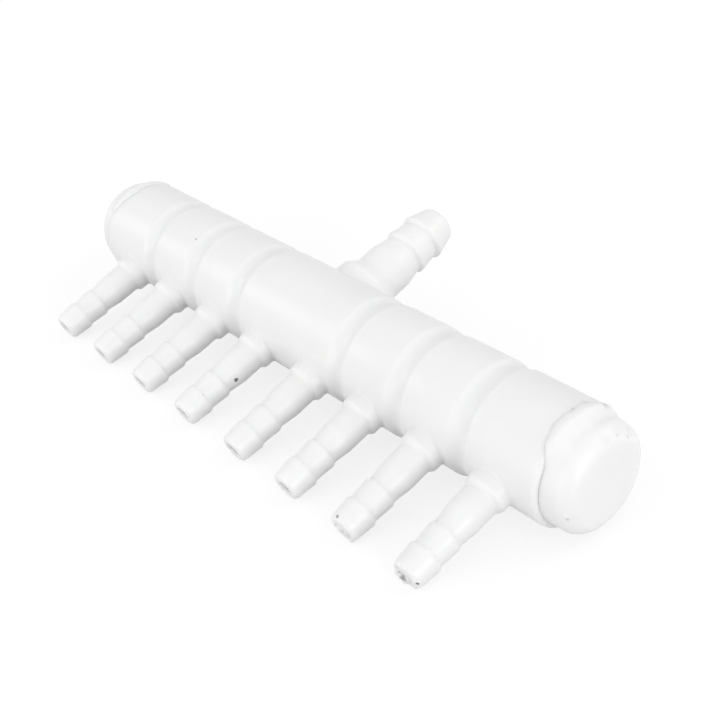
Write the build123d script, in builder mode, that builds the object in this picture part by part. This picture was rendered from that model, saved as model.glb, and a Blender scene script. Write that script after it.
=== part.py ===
from build123d import *
from math import asin, atan2, cos, hypot, radians, sin
import os

# Barbed hose manifold. Millimetres, X along the tube, outlets towards -Y, Z up, floor at Z = 0.
# The part lies on its tube and on the tips of the eight outlets. The origin is under the middle of its outline.

# Tube
tube_r = 12.5
tube_wall = 2.5
tube_half = 73.4
tube_edge_chamfer = 0.5
chamber_r = tube_r - tube_wall

# Moulded grooves between the outlets
groove_half_width = 2.5
groove_depth = 0.75

# Outlets
outlet_pitch = 17.7
centre_pitch = 18.8
outlet_collar_r = 4.6
outlet_collar_end = 14.4
outlet_neck_r = 3.8
outlet_neck_start = 15.3
outlet_neck_end = 20.5
outlet_root_r = 3.25
outlet_ridge_1_start = 24.8
outlet_ridge_1_crest = 25.3
outlet_ridge_1_r = 3.7
outlet_waist_r = 3.3
outlet_ridge_2_start = 30.0
outlet_ridge_2_crest = 30.5
outlet_ridge_2_r = 3.75
outlet_tip_r = 3.3
outlet_length = 35.7
outlet_tip_chamfer = 0.5
outlet_bore_r = 1.6

# Inlet
inlet_collar_r = 7.75
inlet_collar_end = 13.5
inlet_neck_r = 5.9
inlet_neck_start = 16.3
inlet_neck_end = 21.6
inlet_root_r = 5.0
inlet_ridge_1_start = 25.9
inlet_ridge_1_crest = 26.6
inlet_ridge_1_r = 5.75
inlet_waist_r = 5.0
inlet_ridge_2_start = 31.5
inlet_ridge_2_crest = 32.2
inlet_ridge_2_r = 5.85
inlet_tip_r = 4.5
inlet_length = 38.4
inlet_tip_round = 1.6
inlet_bore_r = 3.0

# End caps
cap_head_r = 11.3
cap_head_length = 6.7
cap_head_round = 3.4
spigot_clearance = 0.1
spigot_r = chamber_r - spigot_clearance
spigot_length = 5.0
spigot_wall = 2.0
spigot_lead = 0.6
cap_floor = 3.0

# The tilt at which the tube and the rims of the outlet tips both touch the floor
rim_along = outlet_length - outlet_tip_chamfer
lean = asin(tube_r / hypot(rim_along, outlet_tip_r)) - atan2(outlet_tip_r, rim_along)
front = (0, -cos(lean), -sin(lean))
rear = (0, cos(lean), sin(lean))

# The tube's axis is set off in Y, so that the tips and the inlet reach equally far from the origin
front_reach = outlet_length * cos(lean) + (outlet_tip_r - outlet_tip_chamfer) * sin(lean)
inlet_rim_across = (inlet_tip_r - inlet_tip_round) * sin(lean)
rear_reach = (inlet_length - inlet_tip_round) * cos(lean) + inlet_rim_across + inlet_tip_round
tube_y = (front_reach - rear_reach) / 2

outlet_x = []
for k in range(4):
    outlet_x.append(centre_pitch / 2 + k * outlet_pitch)
    outlet_x.append(-centre_pitch / 2 - k * outlet_pitch)
outlet_x.sort()
groove_x = [(outlet_x[i] + outlet_x[i + 1]) / 2 for i in (0, 1, 2, 4, 5, 6)]

tube_plane = Plane(origin=(0, tube_y, tube_r), x_dir=(1, 0, 0), z_dir=(0, -1, 0))


def outlet_points():
    """Radius and distance from the tube axis along one outlet."""
    return [
        (0, chamber_r + 1.0),
        (outlet_collar_r, chamber_r + 1.0),
        (outlet_collar_r, outlet_collar_end),
        (outlet_neck_r, outlet_neck_start),
        (outlet_neck_r, outlet_neck_end),
        (outlet_root_r, outlet_ridge_1_start),
        (outlet_ridge_1_r, outlet_ridge_1_crest),
        (outlet_waist_r, outlet_ridge_2_start),
        (outlet_ridge_2_r, outlet_ridge_2_crest),
        (outlet_tip_r, outlet_length - outlet_tip_chamfer),
        (outlet_tip_r - outlet_tip_chamfer, outlet_length),
        (0, outlet_length),
    ]


def inlet_points():
    """Radius and distance from the tube axis along the inlet, up to its rounded rim."""
    return [
        (0, chamber_r),
        (inlet_collar_r, chamber_r),
        (inlet_collar_r, inlet_collar_end),
        (inlet_neck_r, inlet_neck_start),
        (inlet_neck_r, inlet_neck_end),
        (inlet_root_r, inlet_ridge_1_start),
        (inlet_ridge_1_r, inlet_ridge_1_crest),
        (inlet_waist_r, inlet_ridge_2_start),
        (inlet_ridge_2_r, inlet_ridge_2_crest),
        (inlet_tip_r, inlet_length - inlet_tip_round),
    ]


os.makedirs("parts", exist_ok=True)

with BuildPart() as manifold_body:
    # Tube with its six grooves
    with BuildSketch(tube_plane):
        with BuildLine():
            here = (-tube_half, tube_r)
            for x in groove_x:
                left = (x - groove_half_width, tube_r)
                right = (x + groove_half_width, tube_r)
                Line(here, left)
                ThreePointArc(left, (x, tube_r - groove_depth), right)
                here = right
            Polyline(here, (tube_half, tube_r), (tube_half, 0), (-tube_half, 0), (-tube_half, tube_r))
        make_face()
    revolve(axis=Axis((0, tube_y, tube_r), (1, 0, 0)))
    ends = manifold_body.edges().filter_by(GeomType.CIRCLE).sort_by(Axis.X)
    chamfer([ends[0], ends[-1]], length=tube_edge_chamfer)

    # Outlets
    for x in outlet_x:
        outlet_plane = Plane(origin=(x, tube_y, tube_r), x_dir=(1, 0, 0), z_dir=(0, sin(lean), -cos(lean)))
        with BuildSketch(outlet_plane):
            with BuildLine():
                Polyline(*outlet_points(), close=True)
            make_face()
        revolve(axis=Axis((x, tube_y, tube_r), front))

    # Inlet
    inlet_plane = Plane(origin=(0, tube_y, tube_r), x_dir=(1, 0, 0), z_dir=(0, -sin(lean), cos(lean)))
    with BuildSketch(inlet_plane):
        with BuildLine():
            points = inlet_points()
            rim = (inlet_tip_r - inlet_tip_round, inlet_length)
            Polyline(*points)
            RadiusArc(points[-1], rim, -inlet_tip_round)
            Polyline(rim, (0, inlet_length), points[0])
        make_face()
    revolve(axis=Axis((0, tube_y, tube_r), rear))

    # Chamber and bores
    with BuildSketch(Plane(origin=(-tube_half, tube_y, tube_r), x_dir=(0, 1, 0), z_dir=(1, 0, 0))):
        Circle(chamber_r)
    extrude(amount=2 * tube_half, mode=Mode.SUBTRACT)
    for x in outlet_x:
        with BuildSketch(Plane(origin=(x, tube_y, tube_r), x_dir=(1, 0, 0), z_dir=front)):
            Circle(outlet_bore_r)
        extrude(amount=outlet_length, mode=Mode.SUBTRACT)
    with BuildSketch(Plane(origin=(0, tube_y, tube_r), x_dir=(1, 0, 0), z_dir=rear)):
        Circle(inlet_bore_r)
    extrude(amount=inlet_length, mode=Mode.SUBTRACT)
manifold_body.part.label = "manifold_body"
export_step(manifold_body.part, "parts/manifold_body.step")


def cap_points(side):
    """Outline of one cap in the plane of its axis, with side -1 for the left one and 1 for the right one."""
    seat = tube_half
    face = tube_half + cap_head_length
    outline = [
        (seat - spigot_length, spigot_r - spigot_wall),
        (seat - spigot_length, spigot_r - spigot_lead),
        (seat - spigot_length + spigot_lead, spigot_r),
        (seat, spigot_r),
        (seat, cap_head_r),
        (face - cap_head_round, cap_head_r),
        (face - cap_head_round * (1 - sin(radians(45))), cap_head_r - cap_head_round * (1 - cos(radians(45)))),
        (face, cap_head_r - cap_head_round),
        (face, 0),
        (face - cap_floor, 0),
        (face - cap_floor, spigot_r - spigot_wall),
    ]
    return [(side * x, r) for x, r in outline]


with BuildPart() as left_end_cap:
    with BuildSketch(tube_plane):
        with BuildLine():
            p = cap_points(-1)
            Polyline(*p[:6])
            ThreePointArc(p[5], p[6], p[7])
            Polyline(*p[7:], p[0])
        make_face()
    revolve(axis=Axis((0, tube_y, tube_r), (1, 0, 0)))
left_end_cap.part.label = "left_end_cap"
export_step(left_end_cap.part, "parts/left_end_cap.step")

with BuildPart() as right_end_cap:
    with BuildSketch(tube_plane):
        with BuildLine():
            p = cap_points(1)
            Polyline(*p[:6])
            ThreePointArc(p[5], p[6], p[7])
            Polyline(*p[7:], p[0])
        make_face()
    revolve(axis=Axis((0, tube_y, tube_r), (1, 0, 0)))
right_end_cap.part.label = "right_end_cap"
export_step(right_end_cap.part, "parts/right_end_cap.step")
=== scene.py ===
import math
import random

import bmesh
import bpy
from mathutils import Matrix, Vector, noise

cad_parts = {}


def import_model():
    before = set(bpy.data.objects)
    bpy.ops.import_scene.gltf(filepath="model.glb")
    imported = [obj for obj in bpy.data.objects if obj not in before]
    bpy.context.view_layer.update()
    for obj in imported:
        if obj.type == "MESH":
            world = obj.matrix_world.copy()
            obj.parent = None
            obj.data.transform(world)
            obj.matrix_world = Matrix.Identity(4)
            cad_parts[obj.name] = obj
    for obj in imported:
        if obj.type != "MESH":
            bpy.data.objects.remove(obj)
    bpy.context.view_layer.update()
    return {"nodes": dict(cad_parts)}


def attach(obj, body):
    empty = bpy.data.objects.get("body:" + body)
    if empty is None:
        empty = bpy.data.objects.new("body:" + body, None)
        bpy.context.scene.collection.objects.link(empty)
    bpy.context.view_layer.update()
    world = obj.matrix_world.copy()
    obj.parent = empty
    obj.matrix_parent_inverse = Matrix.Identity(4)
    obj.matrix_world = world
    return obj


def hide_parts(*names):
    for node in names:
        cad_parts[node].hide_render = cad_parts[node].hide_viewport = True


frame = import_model()

MM = 0.001

# Places on the part, in millimetres, as its drawing has them
TUBE_HALF = 73.4
TUBE_R = 12.5
CAP_HEAD_R = 11.3
OUTLET_PITCH = 17.7
CENTRE_PITCH = 18.8
OUTLET_LENGTH = 35.7
OUTLET_RIM_R = 2.9
LEAN = 0.26790
TUBE_Y = -1.3436

# The softened skins: grid in millimetres, times they are smoothed, and share of the triangles kept
SKIN_GRID = 0.32
SKIN_SMOOTHING = 2
BODY_KEPT = 0.25
CAP_KEPT = 0.6

# Camera of the photograph, in millimetres and degrees
CAMERA_AT = (178.35, -125.63, 152.80)
CAMERA_AIM = (7.64, 1.50, 5.00)
CAMERA_ROLL = -7.74
CAMERA_LENS = 57.7

# Studio: level of the surroundings, grey of the floor, and its own white glow with the share that is seen
WORLD_LEVEL = 0.79
FLOOR_GREY = 0.62
FLOOR_GLOW = 1.28
FLOOR_GLOW_SHARE = 0.60
FLOOR_SIZE = 6.0

FRONT = Vector((0, -math.cos(LEAN), -math.sin(LEAN)))
AXIS_POINT = Vector((0, TUBE_Y, TUBE_R))

# Dark marks and painted shade on the white plastic: centre and radius in millimetres, darkness, and
# softness of the edge
BODY_MARKS_AND_SHADE = (
    ((-39.3, -7.0, 23.6), 0.40, 0.45, 0.5),
    ((55.55, -13.1, 16.7), 0.32, 0.70, 0.5),
    ((55.7, -12.3, 18.5), 0.28, 0.55, 0.5),
    ((-5.9, -23.0, 6.8), 0.55, 0.95, 0.3),
    ((-6.9, -31.2, 6.9), 0.35, 0.25, 0.8),
    ((-72.7, -7.3, 23.5), 0.75, 0.45, 0.9),
    ((-73.4, -4.8, 24.5), 0.75, 0.45, 0.9),
    ((71.6, -1.0, 25.0), 0.60, 0.30, 1.0),
    ((71.3, 2.6, 24.4), 0.90, 0.22, 1.2),
    ((44.3, -36.0, 6.4), 0.46, 0.75, 0.5),
    ((43.4, -35.9, 3.6), 0.40, 0.40, 0.8),
    ((46.7, -35.8, 3.0), 0.80, 0.25, 1.0),
    ((65.5, -35.7, 3.3), 0.38, 0.95, 0.3),
    # Painted shadow: a dark crescent low on the face of the tip of the outlet nearest the right end, near
    # the floor
    ((60.9, -36.2, 4.6), 0.45, 0.35, 0.8),
    ((60.9, -35.8, 3.1), 0.55, 0.50, 0.8),
    ((61.2, -35.4, 1.6), 0.80, 0.70, 0.7),
    ((62.2, -35.4, 1.4), 0.60, 0.45, 0.8),
)
CAP_MARKS_AND_SHADE = (
    # Painted shadow of the knock on the right cap, at its lower right
    ((79.1, -11.4, 10.4), 0.50, 0.38, 0.9),
    ((-74.1, -10.9, 20.6), 0.70, 0.30, 1.0),
    ((79.6, 1.5, 21.8), 0.50, 0.30, 1.0),
    ((79.8, 4.3, 19.9), 0.55, 0.30, 1.0),
    ((79.3, -1.6, 22.6), 1.40, 0.10, 1.4),
    ((79.1, 5.7, 20.0), 1.10, 0.18, 1.2),
    # Painted shadow of the weld's step at the right end of the tube, on the far side
    ((73.5, 5.6, 23.3), 1.20, 0.35, 1.0),
    ((73.6, 7.4, 21.8), 1.00, 0.35, 1.0),
)

# The plastic: greys of the two pieces, and how much light goes in and how far, in millimetres
BODY_GREY = 0.87
BODY_GLOW = 0.55
BODY_GLOW_REACH = 1.8
CAP_GREY = 0.88
CAP_GLOW = 0.38
CAP_GLOW_REACH = 1.4
ROUGHNESS = 0.32
# Colour of the dirt, the dark marks and the painted shade
DIRT_AND_SHADE_COLOUR = (0.14, 0.13, 0.12, 1.0)

# The knock on the right cap, in millimetres
NICK_AT = (78.85, -11.6, 10.95)
NICK_SIZE = 0.45

# The dent of the right cap's far upper edge: its direction, its depth and blend in millimetres,
# and the share of the depth that is pressed in
DENT_FACING = (0.60, 0.46, 0.655)
DENT_DEPTH = 0.9
DENT_BLEND = 0.5
DENT_SHARE = 0.7

# The weld of a cap, in millimetres: inner edge under the cap's side, depth of its foot under it,
# height of its crown over the tube, and the most that the crown wanders
WELD_INSIDE = 0.9
WELD_FOOT = 0.4
WELD_CROWN = 0.26
WELD_WANDER = 0.16
WELD_CRUMBS = 26

# The flash in the two ragged mouths, in millimetres
FLASH_CRUMBS = 26
FLASH_PLUG = 1.0
FLASH_SPIKES = 9


def outlet_positions():
    """X of the eight outlets, from left to right."""
    right = [CENTRE_PITCH / 2 + k * OUTLET_PITCH for k in range(4)]
    return [-x for x in reversed(right)] + right


class Nodes:
    """A short way to write a material's node tree."""

    def __init__(self, name):
        self.material = bpy.data.materials.new(name)
        self.material.use_nodes = True
        self.tree = self.material.node_tree
        self.tree.nodes.clear()
        self.output = self.add("ShaderNodeOutputMaterial")

    def add(self, kind, inputs=None, **settings):
        node = self.tree.nodes.new(kind)
        for key, value in settings.items():
            setattr(node, key, value)
        for key, value in (inputs or {}).items():
            if isinstance(value, bpy.types.NodeSocket):
                self.tree.links.new(value, node.inputs[key])
            else:
                node.inputs[key].default_value = value
        return node

    def math(self, operation, a, b=0.0, clamp=False):
        node = self.add("ShaderNodeMath", {0: a, 1: b}, operation=operation)
        node.use_clamp = clamp
        return node.outputs[0]

    def mix(self, factor, a, b):
        node = self.add("ShaderNodeMix", {"Factor": factor}, data_type="RGBA")
        for socket, value in ((6, a), (7, b)):
            if isinstance(value, bpy.types.NodeSocket):
                self.tree.links.new(value, node.inputs[socket])
            else:
                node.inputs[socket].default_value = value
        return node.outputs[2]

    def noise(self, place, scale, detail=2.0, roughness=0.5):
        node = self.add(
            "ShaderNodeTexNoise",
            {"Vector": place, "Scale": scale, "Detail": detail, "Roughness": roughness},
        )
        return node.outputs["Fac"]


def dark_patch(n, place, ragged, centre, radius, depth, softness):
    """A small dark spot with a ragged edge, as a factor from 0 to depth; it serves both for marks on the
    plastic and for painted shade.
    """
    far = n.add("ShaderNodeVectorMath", {0: place, 1: [c * MM for c in centre]}, operation="DISTANCE")
    edge = n.math("MULTIPLY", ragged, 1.2 * radius * MM)
    inside = n.math("SUBTRACT", n.math("ADD", edge, 0.4 * radius * MM), far.outputs["Value"])
    return n.math("MULTIPLY", n.math("DIVIDE", inside, softness * radius * MM, clamp=True), depth)


def white_plastic(name, grey, glow, glow_reach, dark_spots):
    """Satin white moulded polyethylene with faint dirt, fine waviness, a few dark marks and some painted
    shade.
    """
    n = Nodes(name)
    place = n.add("ShaderNodeTexCoord").outputs["Object"]
    cloudy = n.noise(place, 55.0, 3.0, 0.55)
    grain = n.noise(place, 900.0, 4.0, 0.6)
    ragged = n.noise(place, 1500.0, 4.0, 0.75)
    dust = n.math("DIVIDE", n.math("SUBTRACT", n.noise(place, 420.0, 5.0, 0.75), 0.69), 0.05, clamp=True)

    dirt_and_shade = n.math("MULTIPLY", n.math("SUBTRACT", cloudy, 0.45, clamp=True), 0.12)
    dirt_and_shade = n.math("ADD", dirt_and_shade, n.math("MULTIPLY", dust, 0.08))
    # Dark spots: real marks, and painted shade for the shadows of the knock and the weld's step and a
    # crescent in a tip
    for centre, radius, depth, softness in dark_spots:
        dirt_and_shade = n.math("ADD", dirt_and_shade, dark_patch(n, place, ragged, centre, radius, depth, softness))
    dirt_and_shade = n.math("MINIMUM", dirt_and_shade, 0.95)
    base = n.mix(dirt_and_shade, (grey, grey, grey, 1.0), DIRT_AND_SHADE_COLOUR)

    height = n.math("ADD", cloudy, n.math("MULTIPLY", grain, 0.10))
    bump = n.add("ShaderNodeBump", {"Height": height, "Strength": 0.35, "Distance": 0.0006})
    shine = n.math("ADD", n.math("MULTIPLY", grain, 0.10), ROUGHNESS)
    shader = n.add(
        "ShaderNodeBsdfPrincipled",
        {
            "Base Color": base,
            "Roughness": shine,
            "IOR": 1.51,
            "Subsurface Weight": glow,
            "Subsurface Radius": (1.0, 0.97, 0.93),
            "Subsurface Scale": glow_reach * MM,
            "Normal": bump.outputs["Normal"],
        },
    )
    n.tree.links.new(shader.outputs[0], n.output.inputs[0])
    return n.material


def linked(name, mesh, material):
    """An object for a mesh, which goes with the part's one body and has smooth faces."""
    mesh.materials.clear()
    mesh.materials.append(material)
    mesh.shade_smooth()
    piece = bpy.data.objects.new(name, mesh)
    bpy.context.scene.collection.objects.link(piece)
    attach(piece, "root")
    return piece


def softened(name, node, extra, kept, material):
    """A node's mesh fused with the extra shapes round it, with every edge a little softened."""
    source = frame["nodes"][node]
    bm = bmesh.new()
    bm.from_mesh(source.data)
    bmesh.ops.remove_doubles(bm, verts=bm.verts, dist=1e-6)
    for add in extra:
        add(bm)
    mesh = bpy.data.meshes.new("rough")
    bm.to_mesh(mesh)
    bm.free()
    rough = bpy.data.objects.new("rough", mesh)
    bpy.context.scene.collection.objects.link(rough)
    even = rough.modifiers.new("even", "REMESH")
    even.mode = "VOXEL"
    even.voxel_size = SKIN_GRID * MM
    soften = rough.modifiers.new("soften", "SMOOTH")
    soften.factor = 0.5
    soften.iterations = SKIN_SMOOTHING
    thin = rough.modifiers.new("thin", "DECIMATE")
    thin.ratio = kept
    depsgraph = bpy.context.evaluated_depsgraph_get()
    final = bpy.data.meshes.new_from_object(rough.evaluated_get(depsgraph))
    bpy.data.objects.remove(rough)
    final.name = name
    skin = linked(name, final, material)
    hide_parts(node)
    return skin


def wander(rng, steps, knots):
    """A closed, smooth random curve of values from 0 to 1."""
    values = [rng.random() for _ in range(knots)]
    out = []
    for i in range(steps):
        t = i * knots / steps
        k = int(t)
        s = (1 - math.cos(math.pi * (t - k))) / 2
        out.append(values[k % knots] * (1 - s) + values[(k + 1) % knots] * s)
    return out


def ring_mesh(bm, place, radius, sizes, shifts, sides=8):
    """An uneven closed bead round a circle. place gives a point from its radius, angle and
    distance along the axis, and sizes and shifts hold the bead's radius and offset at each step."""
    steps = len(sizes)
    loops = []
    for i, (size, shift) in enumerate(zip(sizes, shifts)):
        turn = 2 * math.pi * i / steps
        loop = []
        for j in range(sides):
            a = 2 * math.pi * j / sides
            spot = place(radius + shift + size * math.cos(a), turn, size * math.sin(a))
            loop.append(bm.verts.new(spot))
        loops.append(loop)
    for i, loop in enumerate(loops):
        after = loops[(i + 1) % steps]
        for j in range(sides):
            k = (j + 1) % sides
            bm.faces.new((loop[j], loop[k], after[k], after[j]))


def lump(bm, centre, size, rng, flat=1.0):
    """A rough crumb of plastic, with its centre and size in millimetres."""
    made = bmesh.ops.create_icosphere(bm, subdivisions=2, radius=1.0)
    seed = Vector((rng.random(), rng.random(), rng.random())) * 50
    turn = Matrix.Rotation(rng.random() * math.tau, 3, "X")
    turn = turn @ Matrix.Rotation(rng.random() * math.tau, 3, "Z")
    for vertex in made["verts"]:
        rough = 1 + 0.45 * noise.noise(vertex.co * 1.6 + seed)
        spot = turn @ Vector((vertex.co.x * 1.3, vertex.co.y, vertex.co.z * flat)) * rough
        vertex.co = (Vector(centre) + spot * size) * MM


def on_tube(x):
    """Turns radius, angle and a distance along the tube into a place on the part."""

    def place(r, turn, along):
        return Vector((x + along, TUBE_Y + r * math.cos(turn), TUBE_R + r * math.sin(turn))) * MM

    return place


def on_outlet(x, reach):
    """Turns radius, angle and a distance along an outlet's axis into a place on the part."""
    side = Vector((1, 0, 0))
    up = FRONT.cross(side)

    def place(r, turn, along):
        spot = AXIS_POINT + Vector((x, 0, 0)) + FRONT * (reach + along)
        return (spot + side * (r * math.cos(turn)) + up * (r * math.sin(turn))) * MM

    return place


def weld(bm, side, seed):
    """The weld between a cap and the tube: nothing below, an uneven fillet with crumbs on top."""
    rng = random.Random(seed)
    steps = 300
    slow, quick, reach = wander(rng, steps, 17), wander(rng, steps, 71), wander(rng, steps, 41)
    place = on_tube(side * TUBE_HALF)
    rows = []
    for i in range(steps):
        turn = 2 * math.pi * i / steps
        share = min(max((math.sin(turn) - 0.45) / 0.35, 0.0), 1.0)
        share = share * share * (3 - 2 * share)
        uneven = 0.6 * slow[i] + 0.4 * quick[i]
        top = min(max((math.sin(turn) - 0.70) / 0.25, 0.0), 1.0)
        sunk = CAP_HEAD_R - WELD_FOOT
        crown = sunk + (TUBE_R + WELD_CROWN + WELD_WANDER * uneven - sunk) * share
        foot = sunk + WELD_FOOT * share
        back = 0.7 + (0.9 + 0.7 * quick[i]) * top
        along = 0.2 + (2.2 + reach[i]) * share
        inside = CAP_HEAD_R - WELD_INSIDE
        outline = [
            (inside, -back - 1.0),
            (crown - 0.55, -back - 0.8),
            (crown - 0.12, -0.5 * back),
            (crown, 0.0),
        ]
        brow = crown - 0.1 * share
        for t in (0.25, 0.5, 0.75, 1.0):
            fall = 1 - (1 - t) ** 1.15
            outline.append((brow + (foot - brow) * fall, 0.1 + along * t))
        outline.append((inside, 0.1 + along))
        rows.append([bm.verts.new(place(r, turn, side * a)) for r, a in outline])
    for i, row in enumerate(rows):
        after = rows[(i + 1) % steps]
        for j in range(len(row)):
            k = (j + 1) % len(row)
            corners = (row[j], row[k], after[k], after[j])
            bm.faces.new(corners if side < 0 else corners[::-1])
    for _ in range(WELD_CRUMBS):
        turn = math.radians(rng.gauss(84, 22))
        size = 0.18 + 0.20 * rng.random() ** 2
        spot = place(rng.uniform(11.8, 12.35), turn, side * rng.uniform(-0.1, 0.9)) / MM
        lump(bm, spot, size, rng)


def end_cap(name, node, side, seed, material):
    """A cap with its weld, and on the right one the knock and the dent of its far upper edge."""
    extra = [lambda bm: weld(bm, side, seed)]
    if side > 0:
        extra.append(lambda bm: lump(bm, NICK_AT, NICK_SIZE, random.Random(5), 0.6))
    skin = softened(name, node, extra, CAP_KEPT, material)
    if side > 0:
        axis = AXIS_POINT * MM
        normal = Vector(DENT_FACING).normalized()
        reach = max((v.co - axis).dot(normal) for v in skin.data.vertices)
        for vertex in skin.data.vertices:
            over = (vertex.co - axis).dot(normal) - (reach - DENT_DEPTH * MM)
            if over > 0:
                vertex.co -= normal * DENT_SHARE * over * over / (over + DENT_BLEND * MM)


def tip_flash(bm):
    """Ragged flash on the tips of the two outlets nearest the right end, with spikes on the last one."""
    for k, x in enumerate(outlet_positions()[6:]):
        rng = random.Random(47 + k)
        steps = 90
        sizes = [0.12 + 0.34 * u * u for u in wander(rng, steps, 13)]
        shifts = [0.30 * (u - 0.5) for u in wander(rng, steps, 19)]
        place = on_outlet(x, OUTLET_LENGTH - 0.15)
        ring_mesh(bm, place, OUTLET_RIM_R - 0.1, sizes, shifts)
        for _ in range(FLASH_CRUMBS):
            r = rng.uniform(0.3, 2.8)
            spot = place(r, rng.random() * math.tau, rng.uniform(-0.5, 0.05)) / MM
            lump(bm, spot, 0.28 + 0.34 * rng.random() ** 2, rng)
        lump(bm, place(0.6, 1.0 + k, -0.9) / MM, FLASH_PLUG, rng)
    for _ in range(FLASH_SPIKES):
        turn = math.radians(rng.uniform(195, 250))
        lump(bm, place(rng.uniform(2.4, 2.9), turn, rng.uniform(-0.1, 0.3)) / MM, 0.42, rng)


def floor():
    """A pale floor that the camera sees as white, with the part's soft shadow."""
    n = Nodes("floor_white")
    ray = n.add("ShaderNodeLightPath")
    seen = n.math("MAXIMUM", ray.outputs["Is Camera Ray"], ray.outputs["Is Glossy Ray"])
    seen = n.math("MAXIMUM", seen, ray.outputs["Is Transmission Ray"])
    lit = n.add("ShaderNodeBsdfDiffuse", {"Color": (FLOOR_GREY, FLOOR_GREY, FLOOR_GREY, 1.0)})
    plain = n.add("ShaderNodeEmission", {"Color": (1.0, 1.0, 1.0, 1.0), "Strength": FLOOR_GLOW})
    share = n.math("MULTIPLY", seen, FLOOR_GLOW_SHARE)
    both = n.add("ShaderNodeMixShader", {0: share, 1: lit.outputs[0], 2: plain.outputs[0]})
    n.tree.links.new(both.outputs[0], n.output.inputs[0])
    bpy.ops.mesh.primitive_plane_add(size=FLOOR_SIZE, location=(0, 0, 0))
    plane = bpy.context.object
    plane.name = "floor"
    plane.data.materials.append(n.material)


def world():
    """Even soft light from all round, seen as plain white."""
    w = bpy.data.worlds.new("studio")
    bpy.context.scene.world = w
    w.use_nodes = True
    tree = w.node_tree
    tree.nodes.clear()
    path = tree.nodes.new("ShaderNodeLightPath")
    back = tree.nodes.new("ShaderNodeBackground")
    white = tree.nodes.new("ShaderNodeBackground")
    mix = tree.nodes.new("ShaderNodeMixShader")
    out = tree.nodes.new("ShaderNodeOutputWorld")
    back.inputs["Color"].default_value = (1.0, 1.0, 1.0, 1.0)
    back.inputs["Strength"].default_value = WORLD_LEVEL
    white.inputs["Color"].default_value = (1.0, 1.0, 1.0, 1.0)
    white.inputs["Strength"].default_value = 1.0
    tree.links.new(path.outputs["Is Camera Ray"], mix.inputs[0])
    tree.links.new(back.outputs[0], mix.inputs[1])
    tree.links.new(white.outputs[0], mix.inputs[2])
    tree.links.new(mix.outputs[0], out.inputs[0])


def area_light(name, at, aim, size, watts):
    data = bpy.data.lights.new(name, "AREA")
    data.shape = "DISK"
    data.size = size
    data.energy = watts
    lamp = bpy.data.objects.new(name, data)
    bpy.context.scene.collection.objects.link(lamp)
    lamp.location = at
    lamp.rotation_mode = "QUATERNION"
    lamp.rotation_quaternion = (Vector(aim) - Vector(at)).to_track_quat("-Z", "Y")


def lights():
    """Four soft lamps: place in metres, size and watts."""
    middle = (0, 0, 0.01)
    area_light("right_low", (0.85, -0.15, 0.25), middle, 0.40, 1.90)
    area_light("front", (-0.15, -0.92, 0.20), middle, 0.60, 1.65)
    area_light("left", (-0.70, -0.50, 0.40), middle, 0.40, 0.90)
    area_light("back_right", (0.40, 0.50, 0.50), middle, 0.40, 0.75)


def camera():
    """The camera of the photograph."""
    data = bpy.data.cameras.new("camera")
    data.lens = CAMERA_LENS
    data.sensor_width = 36.0
    data.clip_start = 0.01
    cam = bpy.data.objects.new("camera", data)
    bpy.context.scene.collection.objects.link(cam)
    at, aim = Vector(CAMERA_AT) * MM, Vector(CAMERA_AIM) * MM
    cam.rotation_mode = "QUATERNION"
    look = (aim - at).to_track_quat("-Z", "Y")
    roll = Matrix.Rotation(math.radians(CAMERA_ROLL), 4, "Z").to_quaternion()
    cam.location = at
    cam.rotation_quaternion = look @ roll
    bpy.context.scene.camera = cam


body_plastic = white_plastic("body_white_plastic", BODY_GREY, BODY_GLOW, BODY_GLOW_REACH, BODY_MARKS_AND_SHADE)
cap_plastic = white_plastic("cap_white_plastic", CAP_GREY, CAP_GLOW, CAP_GLOW_REACH, CAP_MARKS_AND_SHADE)
softened("moulded_skin", "manifold_body", [tip_flash], BODY_KEPT, body_plastic)
end_cap("left_cap_skin", "left_end_cap", -1, 11, cap_plastic)
end_cap("right_cap_skin", "right_end_cap", 1, 4, cap_plastic)
floor()
world()
lights()
camera()
bpy.context.scene.view_settings.view_transform = "Standard"
